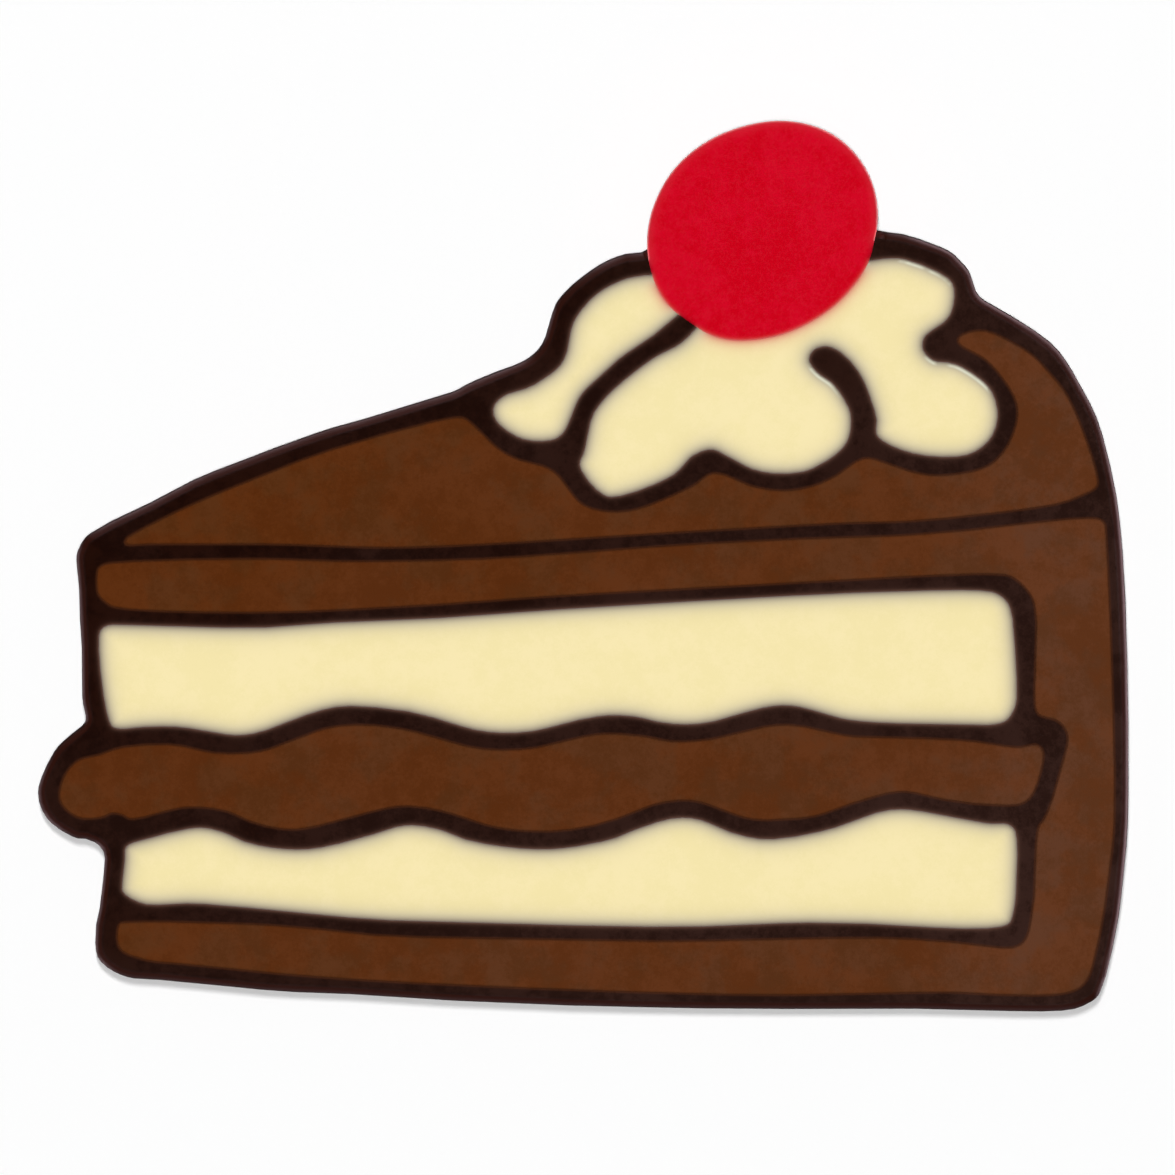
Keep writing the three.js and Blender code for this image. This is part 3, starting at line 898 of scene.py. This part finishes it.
def cast_milk(node, name):
    piece = copy_solid(node, name)
    border = border_of(piece, face_height)
    soften_seam(piece, face_height)
    cut_grid(piece, face_height, PITCH)
    beside_dark = stretches(border, dark_corners)
    milk_stretches.extend(beside_dark)
    keep_distance(piece, "to_dark", stand_walls(beside_dark))
    wave_face(piece, face_height)
    finish_piece(piece, milk_chocolate, node)


cast_milk("glaze_panel", "glaze_panel_cast")
cast_milk("frosting_panel", "frosting_panel_cast")
cast_milk("filling_middle", "filling_middle_cast")

# %% [markdown]
# ## The cherry
#
# The disc is poured last and overlaps the rim. Its own rim is rounded by the solid, and it
# meets the cream and the outline in a seam as the panels do. Where it hangs free it also
# knows how far the rim is, since light shines through its edge.

# %% Cast the cherry
CHERRY_WIDEST = 5.6 * MM


def free_rim():
    """The stretches of the cherry's widest line that touch no other piece."""
    beside = dark_corners | white_corners
    pairs = line_at("cherry_disc", CHERRY_WIDEST)
    return [pair for pair in pairs if not all(rounded(place) in beside for place in pair)]


def cast_cherry():
    piece = copy_solid("cherry_disc", "cherry_cast")
    border = border_of(piece, face_height)
    soften_seam(piece, face_height)
    cut_grid(piece, face_height, PITCH)
    keep_distance(piece, "to_dark", stand_walls(stretches(border, dark_corners)))
    keep_distance(piece, "to_white", stand_walls(stretches(border, white_corners)))
    keep_distance(piece, "to_free", stand_walls(free_rim()))
    wave_face(piece, face_height)
    finish_piece(piece, red_chocolate, "cherry_disc")


cast_cherry()

# %% [markdown]
# ## The dark outline and the backing
#
# The outline carries the rim's rounded upper edge, and the backing carries the side down to
# the floor. The rim of a real casting is never quite even, as the chocolate is knocked out
# of its mould. So the rings of both rims are pushed inwards by a slow noise. It changes
# faster upwards than along the rim, and the two pieces move alike where they meet. Beside
# the cherry they stay. The dip in the outline's rim is filled a little and the ring beside
# its face is lowered by a hair, so that one line of light is strong and the next one faint.

# %% Make the rims uneven
UNEVEN_SIZE = 4 * MM
UNEVEN_RISE = 3
UNEVEN_DEPTH = 0.09 * MM
RIM_DEPTH = 1.15
CONTACT = 2.5
DIP_LEVEL = 6.1 * MM
DIP_FILL = 0.07 * MM
CREST_LEVEL = 6.43 * MM
CREST_DROP = 0.02 * MM
LEAST_SIDEWAYS = 0.05
cherry_walls = stand_walls(stretches(border_of(nodes["cherry_disc"], face_height), dark_corners))


def uneven_rim(piece):
    """Pushes the rim of a piece inwards by a slow noise."""
    mesh = piece.data
    normals = [corner.normal.copy() for corner in mesh.vertices]
    for corner, normal in zip(mesh.vertices, normals):
        inwards = -Vector((normal.x, normal.y, 0))
        if inwards.length < LEAST_SIDEWAYS or distance_to(rim, corner.co) > RIM_DEPTH:
            continue
        clear = min(distance_to(cherry_walls, corner.co) / CONTACT, 1)
        x, y, z = corner.co / UNEVEN_SIZE
        push = 0.5 + 0.5 * noise.noise(Vector((x, y, z * UNEVEN_RISE)))
        corner.co += inwards.normalized() * UNEVEN_DEPTH * push * clear
        if abs(corner.co.z - DIP_LEVEL) < SAME_LEVEL:
            corner.co.z += DIP_FILL
        elif abs(corner.co.z - CREST_LEVEL) < SAME_LEVEL:
            corner.co.z -= CREST_DROP


# %% Cast the outline
OUTLINE_DROP = 0.01 * MM


def keep_dark_distances(piece):
    """Keeps what the dark finish needs on the corners of a piece."""
    keep_distance(piece, "to_white", stand_walls(white_stretches))
    keep_distance(piece, "to_milk", stand_walls(milk_stretches))
    keep_distance(piece, "to_rim", rim)


def cast_outline():
    piece = copy_solid("dark_outline", "outline_cast")
    uneven_rim(piece)
    bpy.ops.object.mode_set(mode="EDIT")
    pick_faces(piece, lambda face: on_face(face, face_height))
    bpy.ops.transform.translate(value=(0, 0, -OUTLINE_DROP))
    bpy.ops.object.mode_set(mode="OBJECT")
    level = face_height - OUTLINE_DROP
    soften_seam(piece, level)
    cut_grid(piece, level, PITCH)
    keep_dark_distances(piece)
    wave_face(piece, face_height)
    finish_piece(piece, dark_chocolate, "dark_outline", RIM_SMOOTHING)


cast_outline()

# %% [markdown]
# ## The back
#
# The back of a casting is the side that lay open in the mould. It is scraped flat while it
# is soft, so it has very shallow hollows. They go upwards, so that the plaque still rests on
# the rest of its back.

# %% Cast the backing
BACK_PITCH = 2 * MM
HOLLOW_SIZE = 11 * MM
HOLLOW_DEPTH = 0.25 * MM
HOLLOW_START = 2
HOLLOW_FADE = 6


def hollow_back(piece):
    """Lifts corners of the back's face into shallow hollows."""
    for corner in piece.data.vertices:
        inside = min(max(distance_to(rim, corner.co) - HOLLOW_START, 0) / HOLLOW_FADE, 1)
        if corner.co.z < NEAR_LEVEL and inside:
            hollow = max(noise.noise(corner.co / HOLLOW_SIZE), 0)
            corner.co.z += HOLLOW_DEPTH * hollow * inside


def cast_backing():
    piece = copy_solid("backing_slab", "backing_cast")
    uneven_rim(piece)
    cut_grid(piece, 0, BACK_PITCH, facing=-1)
    hollow_back(piece)
    keep_dark_distances(piece)
    finish_piece(piece, dark_chocolate, "backing_slab", RIM_SMOOTHING)


cast_backing()
